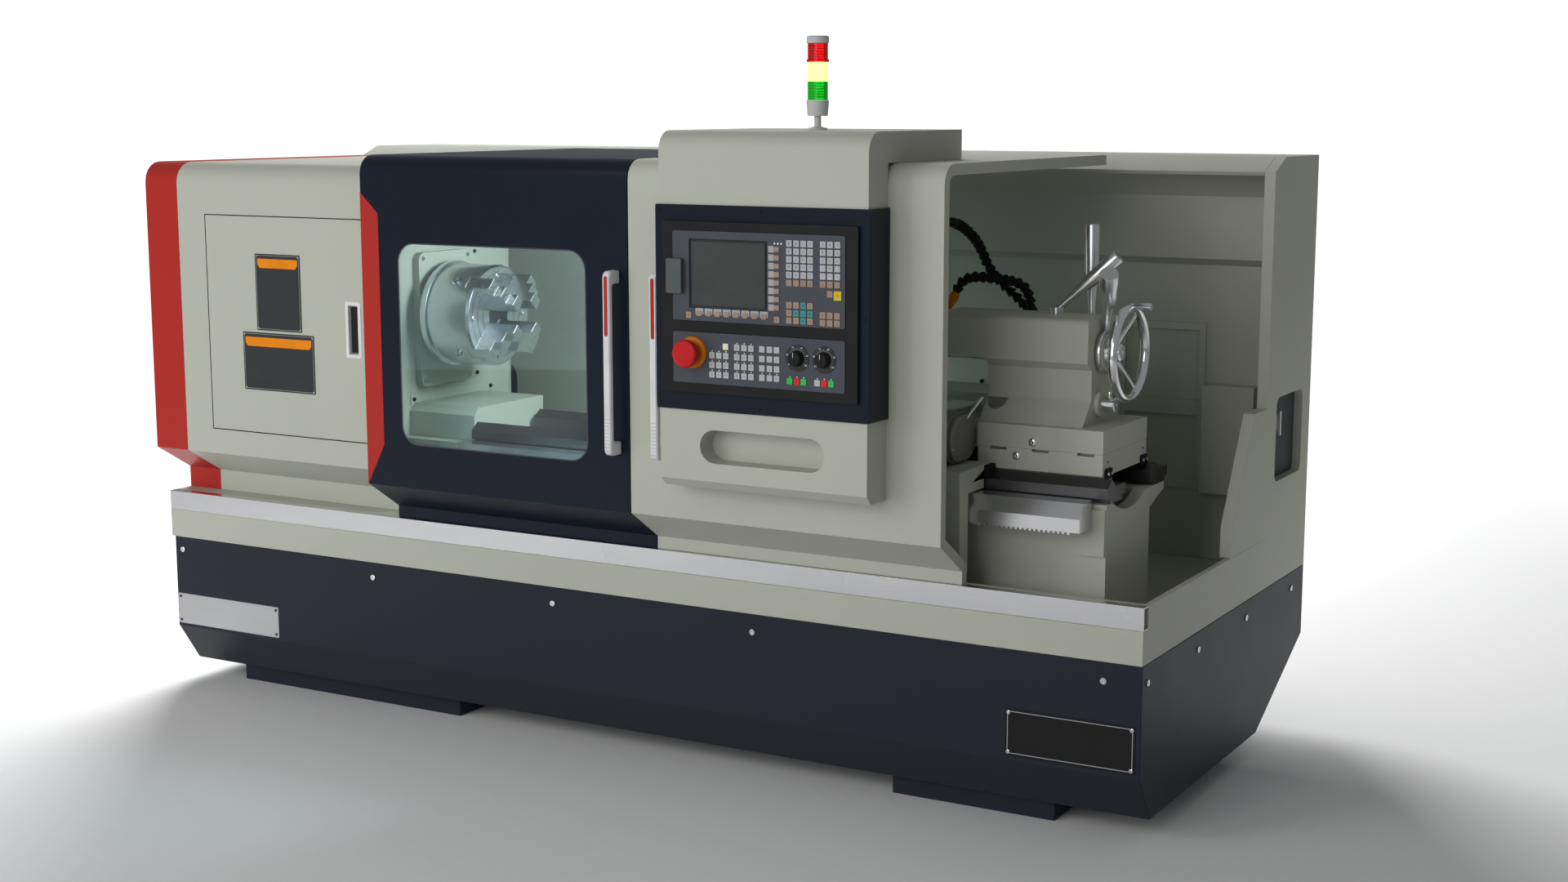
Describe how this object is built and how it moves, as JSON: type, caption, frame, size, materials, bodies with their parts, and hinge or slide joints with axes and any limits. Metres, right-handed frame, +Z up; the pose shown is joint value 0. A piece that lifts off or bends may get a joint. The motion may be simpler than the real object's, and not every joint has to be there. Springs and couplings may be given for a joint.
{
  "type": "cnc turning lathe",
  "caption": "Flat-bed turning lathe in a sliding-door enclosure, with a chuck, a tool turret on a cross slide, a tailstock, a control panel and a signal tower.",
  "frame": {"origin": "centre of the bounding box at floor level", "axes": "+X along the spindle and bed from headstock to tailstock, +Y from the operator to the back, +Z up"},
  "size_m": [3.152, 1.6036, 1.943],
  "materials": {
    "cream_paint": "semi-gloss powder coat",
    "navy_paint": "semi-gloss powder coat",
    "cabinet_paint": "fine textured powder coat",
    "red_paint": "semi-gloss powder coat",
    "satin_steel": "ground and turned steel",
    "way_steel": "hardened and ground, oiled",
    "chrome": "bright plated",
    "dark_iron": "dark cast cover",
    "window_glass": "clear with a green tint",
    "black_plastic": "matt",
    "gray_plastic": "fine grain",
    "silver_plastic": "satin",
    "light_gray_plastic": "satin",
    "estop_red": "gloss",
    "lens_green": "ribbed lens",
    "lens_amber": "ribbed lens, lit",
    "lens_red": "ribbed lens",
    "rubber": "matt black"
  },
  "bodies": {
    "frame": {"base_cabinet": "cabinet_paint", "chip_tray": "cream_paint", "front_rail": "satin_steel", "bed_casting": "cream_paint", "front_way": "way_steel", "rear_way": "way_steel", "rack_bar": "satin_steel", "headstock_casting": "cream_paint", "headstock_guard": "cream_paint", "end_cover": "red_paint", "rear_guard": "cream_paint", "rear_guard_end": "cream_paint", "main_motor": "cabinet_paint", "drive_belt": "rubber", "z_servo_motor": "rubber"},
    "left_door": {"left_door": "navy_paint", "door_window": "window_glass", "left_door_handle": "silver_plastic"},
    "right_door": {"right_door": "cream_paint", "right_door_handle": "silver_plastic", "control_housing": "cream_paint", "panel_surround": "navy_paint", "panel_bezel": "black_plastic", "display_unit": "gray_plastic", "machine_panel": "gray_plastic", "stack_base": "light_gray_plastic", "stack_green_lens": "lens_green", "stack_amber_lens": "lens_amber", "stack_red_lens": "lens_red", "stack_cap": "light_gray_plastic"},
    "access_door": {"access_door": "cream_paint"},
    "latch": {"door_latch": "black_plastic"},
    "spindle": {"spindle": "satin_steel", "chuck_backplate": "satin_steel", "chuck_body": "satin_steel"},
    "jaw_1": {"chuck_jaw_1": "satin_steel"},
    "jaw_2": {"chuck_jaw_2": "satin_steel"},
    "jaw_3": {"chuck_jaw_3": "satin_steel"},
    "jaw_4": {"chuck_jaw_4": "satin_steel"},
    "motor_rotor": {"motor_pulley": "satin_steel"},
    "z_screw": {"z_ball_screw": "satin_steel"},
    "carriage": {"saddle": "cream_paint", "high_coolant_hose": "rubber", "low_coolant_hose": "rubber"},
    "cross_slide": {"cross_slide": "satin_steel", "turret_motor": "dark_iron"},
    "turret": {"tool_turret": "satin_steel"},
    "tailstock": {"tailstock_sole": "cream_paint", "tailstock_body": "cream_paint"},
    "handwheel": {"handwheel": "chrome"},
    "quill": {"quill": "satin_steel"},
    "quill_lock": {"quill_lock_lever": "satin_steel"},
    "gear_lever": {"feed_gear_lever": "satin_steel"},
    "bed_lever": {"bed_clamp_lever": "satin_steel"},
    "clamp_shaft": {"clamp_shaft": "chrome"},
    "estop": {"estop_button": "estop_red"},
    "feed_knob": {"feed_knob": "black_plastic"},
    "speed_knob": {"speed_knob": "black_plastic"},
    "usb_cover": {"usb_cover": "light_gray_plastic"},
    "isolator": {"isolator_lever": "satin_steel"}
  },
  "joints": [
    {"name": "left_door_slide", "type": "slide", "parent": "frame", "child": "left_door", "axis": [1, 0, 0], "range_m": [-0.76, 0]},
    {"name": "right_door_slide", "type": "slide", "parent": "frame", "child": "right_door", "axis": [1, 0, 0], "range_m": [0, 0.47]},
    {"name": "access_door_hinge", "type": "hinge", "parent": "frame", "child": "access_door", "pos_m": [-1.338, -0.5656, 0.819], "axis": [0, 0, -1], "range_deg": [0, 100]},
    {"name": "latch_hinge", "type": "hinge", "parent": "access_door", "child": "latch", "pos_m": [-0.783, -0.5576, 1.205], "axis": [-1, 0, 0], "range_deg": [0, 40]},
    {"name": "spindle_turn", "type": "hinge", "parent": "frame", "child": "spindle", "pos_m": [-0.7461, -0.1352, 1.155], "axis": [1, 0, 0], "continuous": true},
    {"name": "motor_turn", "type": "hinge", "parent": "frame", "child": "motor_rotor", "pos_m": [-1.526, 0.4278, 0.79], "axis": [1, 0, 0], "continuous": true},
    {"name": "jaw_1_slide", "type": "slide", "parent": "spindle", "child": "jaw_1", "axis": [0, -0.7071, 0.7071], "range_m": [-0.02, 0.02]},
    {"name": "jaw_2_slide", "type": "slide", "parent": "spindle", "child": "jaw_2", "axis": [0, -0.7071, -0.7071], "range_m": [-0.02, 0.02]},
    {"name": "jaw_3_slide", "type": "slide", "parent": "spindle", "child": "jaw_3", "axis": [0, 0.7071, -0.7071], "range_m": [-0.02, 0.02]},
    {"name": "jaw_4_slide", "type": "slide", "parent": "spindle", "child": "jaw_4", "axis": [0, 0.7071, 0.7071], "range_m": [-0.02, 0.02]},
    {"name": "z_screw_turn", "type": "hinge", "parent": "frame", "child": "z_screw", "pos_m": [-0.524, 0.1498, 0.76], "axis": [1, 0, 0], "range_deg": [-32404, 4]},
    {"name": "carriage_slide", "type": "slide", "parent": "frame", "child": "carriage", "axis": [1, 0, 0], "range_m": [-0.9001, 0.0001]},
    {"name": "cross_slide_move", "type": "slide", "parent": "carriage", "child": "cross_slide", "axis": [0, 1, 0], "range_m": [-0.1, 0.055]},
    {"name": "turret_turn", "type": "hinge", "parent": "cross_slide", "child": "turret", "pos_m": [0.724, -0.3472, 1.0376], "axis": [0, 0, 1], "continuous": true},
    {"name": "tailstock_slide", "type": "slide", "parent": "frame", "child": "tailstock", "axis": [1, 0, 0], "range_m": [0, 0.08]},
    {"name": "handwheel_turn", "type": "hinge", "parent": "tailstock", "child": "handwheel", "pos_m": [1.3243, -0.1352, 1.155], "axis": [1, 0, 0], "range_deg": [0, 10800]},
    {"name": "quill_slide", "type": "slide", "parent": "tailstock", "child": "quill", "axis": [-1, 0, 0], "range_m": [-0.0001, 0.1501]},
    {"name": "quill_lock_turn", "type": "hinge", "parent": "tailstock", "child": "quill_lock", "pos_m": [1.159, -0.0822, 1.242], "axis": [0, 0, -1], "range_deg": [0, 25]},
    {"name": "gear_lever_turn", "type": "hinge", "parent": "tailstock", "child": "gear_lever", "pos_m": [1.315, -0.1352, 1.155], "axis": [1, 0, 0], "range_deg": [0, 40]},
    {"name": "bed_lever_turn", "type": "hinge", "parent": "tailstock", "child": "bed_lever", "pos_m": [1.224, -0.0022, 1.19], "axis": [0, 1, 0], "range_deg": [0, 50]},
    {"name": "clamp_shaft_turn", "type": "hinge", "parent": "tailstock", "child": "clamp_shaft", "pos_m": [1.306, -0.1572, 1.025], "axis": [1, 0, 0], "range_deg": [-45, 45]},
    {"name": "estop_press", "type": "slide", "parent": "right_door", "child": "estop", "axis": [0, 1, 0], "range_m": [0, 0.0045], "stiffness_N_per_m": 700},
    {"name": "feed_knob_turn", "type": "hinge", "parent": "right_door", "child": "feed_knob", "pos_m": [0.76894, -0.7548, 1.17055], "axis": [0, -1, 0], "range_deg": [-135, 135]},
    {"name": "speed_knob_turn", "type": "hinge", "parent": "right_door", "child": "speed_knob", "pos_m": [0.84236, -0.7548, 1.17055], "axis": [0, -1, 0], "range_deg": [-135, 135]},
    {"name": "usb_cover_hinge", "type": "hinge", "parent": "right_door", "child": "usb_cover", "pos_m": [0.40331, -0.7551, 1.31344], "axis": [0, 0, -1], "range_deg": [0, 90]},
    {"name": "isolator_turn", "type": "hinge", "parent": "frame", "child": "isolator", "pos_m": [1.5513, 0.5328, 0.905], "axis": [1, 0, 0], "range_deg": [0, 90]}
  ],
  "couplings": [
    {"joint": "motor_turn", "follows": "spindle_turn", "ratio": 2},
    {"joint": "z_screw_turn", "follows": "carriage_slide", "rad_per_m": 628.32},
    {"joint": "quill_slide", "follows": "handwheel_turn", "m_per_rad": 0.00079577}
  ]
}
